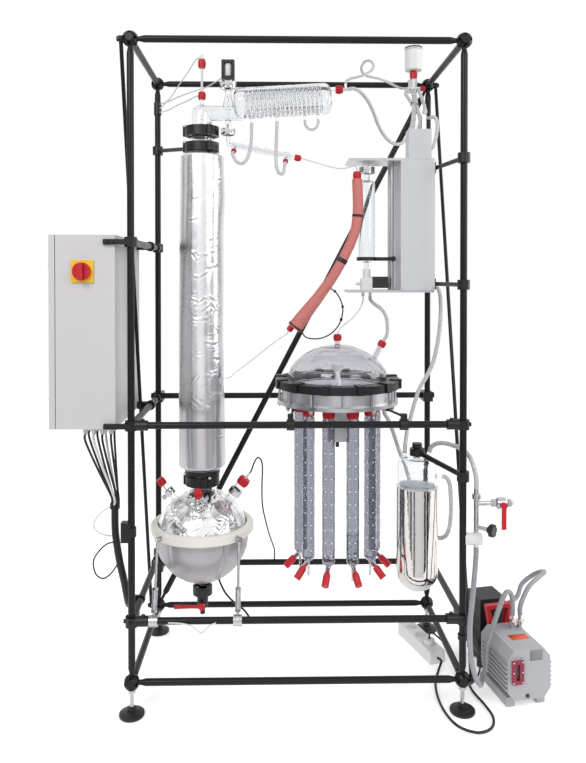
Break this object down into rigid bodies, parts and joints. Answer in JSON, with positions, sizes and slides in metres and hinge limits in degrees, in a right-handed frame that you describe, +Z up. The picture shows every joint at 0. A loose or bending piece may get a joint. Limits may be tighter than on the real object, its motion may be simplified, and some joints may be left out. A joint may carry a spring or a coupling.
{
  "type": "laboratory distillation unit",
  "caption": "Glass distillation column with foil jacket, heated flask, condenser, burette, turning receiver collector, cold trap, vacuum pump and control cabinet on a tube frame.",
  "frame": {"origin": "centre of the front left foot's base, on the floor", "axes": "+X to the right along the front, +Y to the back, +Z up"},
  "size_m": [1.6165, 0.6537, 2.159],
  "materials": {
    "frame_paint": "gloss anthracite",
    "black_casting": "satin black",
    "black_plastic": "matt",
    "cabinet_paint": "fine texture",
    "module_plastic": "matt",
    "gland_metal": "nickel",
    "switch_yellow": "gloss",
    "signal_red": "gloss",
    "clear_glass": "clear",
    "foil": "crinkled foil",
    "mesh": "rolled wire mesh",
    "cream_ring": "satin",
    "mantle_fabric": "woven",
    "steel": "brushed",
    "bright_steel": "polished",
    "white_plastic": "satin",
    "housing_paint": "satin",
    "plate_metal": "brushed",
    "mirror_glass": "silvered",
    "pump_grey": "painted casting",
    "pump_black": "painted casting",
    "hose_silicone": "translucent",
    "cable_rubber": "matt",
    "line_white": "satin",
    "line_pink": "foam"
  },
  "bodies": {
    "stand": {"frame_tubes": "frame_paint", "frame_hubs": "frame_paint", "bar_clamps": "black_casting", "flange_clamps": "black_casting", "collector_clamp_ring": "black_casting", "levelling_feet": "black_plastic", "drain_valve_body": "black_plastic", "reflux_magnet": "black_plastic", "cabinet_body": "cabinet_paint", "cabinet_internals": "module_plastic", "distributor_motor": "module_plastic", "cable_glands": "gland_metal", "main_switch_plate": "switch_yellow", "screw_caps": "signal_red", "pump_handle": "signal_red", "flask": "clear_glass", "column_tube": "clear_glass", "condenser_head": "clear_glass", "condenser_coil": "clear_glass", "product_cooler": "clear_glass", "burette_cylinder": "clear_glass", "collector_dome": "clear_glass", "receiver_tubes": "clear_glass", "trap_head": "clear_glass", "flask_cover": "foil", "column_jacket": "foil", "column_packing": "mesh", "mantle_ring": "cream_ring", "heating_mantle": "mantle_fabric", "vessel_legs": "steel", "vacuum_pipe": "steel", "steel_clamps": "bright_steel", "temperature_probes": "white_plastic", "burette_valve": "white_plastic", "pressure_sensor": "white_plastic", "power_strip": "white_plastic", "burette_housing": "housing_paint", "burette_frame": "plate_metal", "collector_base": "plate_metal", "cold_trap": "mirror_glass", "pump_body": "pump_grey", "pump_motor": "pump_black", "hoses": "hose_silicone", "cables": "cable_rubber", "thin_lines": "line_white", "insulated_line": "line_pink"},
    "door": {"cabinet_door": "cabinet_paint"},
    "switch_handle": {"main_switch_handle": "signal_red"},
    "drain_lever": {"drain_valve_lever": "signal_red"},
    "reflux_rod": {"reflux_valve_rod": "steel"},
    "level_sensor": {"burette_sensor": "black_plastic"},
    "distributor_arm": {"distributor": "white_plastic"},
    "vacuum_lever": {"vacuum_valve_lever": "signal_red"},
    "bleed_knob": {"bleed_valve_knob": "black_plastic"},
    "tap_1": {"receiver_tap_1": "signal_red"},
    "tap_2": {"receiver_tap_2": "signal_red"},
    "tap_3": {"receiver_tap_3": "signal_red"},
    "tap_4": {"receiver_tap_4": "signal_red"},
    "tap_5": {"receiver_tap_5": "signal_red"},
    "tap_6": {"receiver_tap_6": "signal_red"}
  },
  "joints": [
    {"name": "cabinet_door_hinge", "type": "hinge", "parent": "stand", "child": "door", "pos_m": [-0.223, 0.378, 1.156], "axis": [0, 0, -1], "range_deg": [0, 120]},
    {"name": "main_switch_turn", "type": "hinge", "parent": "stand", "child": "switch_handle", "pos_m": [-0.141, -0.01, 1.337], "axis": [0, 1, 0], "range_deg": [0, 90]},
    {"name": "drain_lever_turn", "type": "hinge", "parent": "stand", "child": "drain_lever", "pos_m": [0.192, 0.1837, 0.243], "axis": [0, -1, 0], "range_deg": [0, 90]},
    {"name": "reflux_rod_lift", "type": "slide", "parent": "stand", "child": "reflux_rod", "axis": [0, 0, 1], "range_m": [0, 0.012]},
    {"name": "level_sensor_slide", "type": "slide", "parent": "stand", "child": "level_sensor", "axis": [0, 0, 1], "range_m": [0, 0.22]},
    {"name": "distributor_turn", "type": "hinge", "parent": "stand", "child": "distributor_arm", "pos_m": [0.64, 0.23, 0.97], "axis": [0, 0, 1], "continuous": true},
    {"name": "vacuum_lever_turn", "type": "hinge", "parent": "stand", "child": "vacuum_lever", "pos_m": [1.118, -0.0183, 0.634], "axis": [0, -1, 0], "range_deg": [0, 90]},
    {"name": "bleed_knob_turn", "type": "hinge", "parent": "stand", "child": "bleed_knob", "pos_m": [1.042, 0.004, 0.562], "axis": [0.7498, -0.6616, 0], "continuous": true},
    {"name": "receiver_tap_1_turn", "type": "hinge", "parent": "stand", "child": "tap_1", "pos_m": [0.516, 0.23, 0.4025], "axis": [-0.7071, 0, -0.7071], "continuous": true},
    {"name": "receiver_tap_2_turn", "type": "hinge", "parent": "stand", "child": "tap_2", "pos_m": [0.53968, 0.15711, 0.4025], "axis": [-0.5721, -0.4156, -0.7071], "continuous": true},
    {"name": "receiver_tap_3_turn", "type": "hinge", "parent": "stand", "child": "tap_3", "pos_m": [0.60168, 0.11207, 0.4025], "axis": [-0.2185, -0.6725, -0.7071], "continuous": true},
    {"name": "receiver_tap_4_turn", "type": "hinge", "parent": "stand", "child": "tap_4", "pos_m": [0.67832, 0.11207, 0.4025], "axis": [0.2185, -0.6725, -0.7071], "continuous": true},
    {"name": "receiver_tap_5_turn", "type": "hinge", "parent": "stand", "child": "tap_5", "pos_m": [0.74032, 0.15711, 0.4025], "axis": [0.5721, -0.4156, -0.7071], "continuous": true},
    {"name": "receiver_tap_6_turn", "type": "hinge", "parent": "stand", "child": "tap_6", "pos_m": [0.764, 0.23, 0.4025], "axis": [0.7071, 0, -0.7071], "continuous": true}
  ]
}
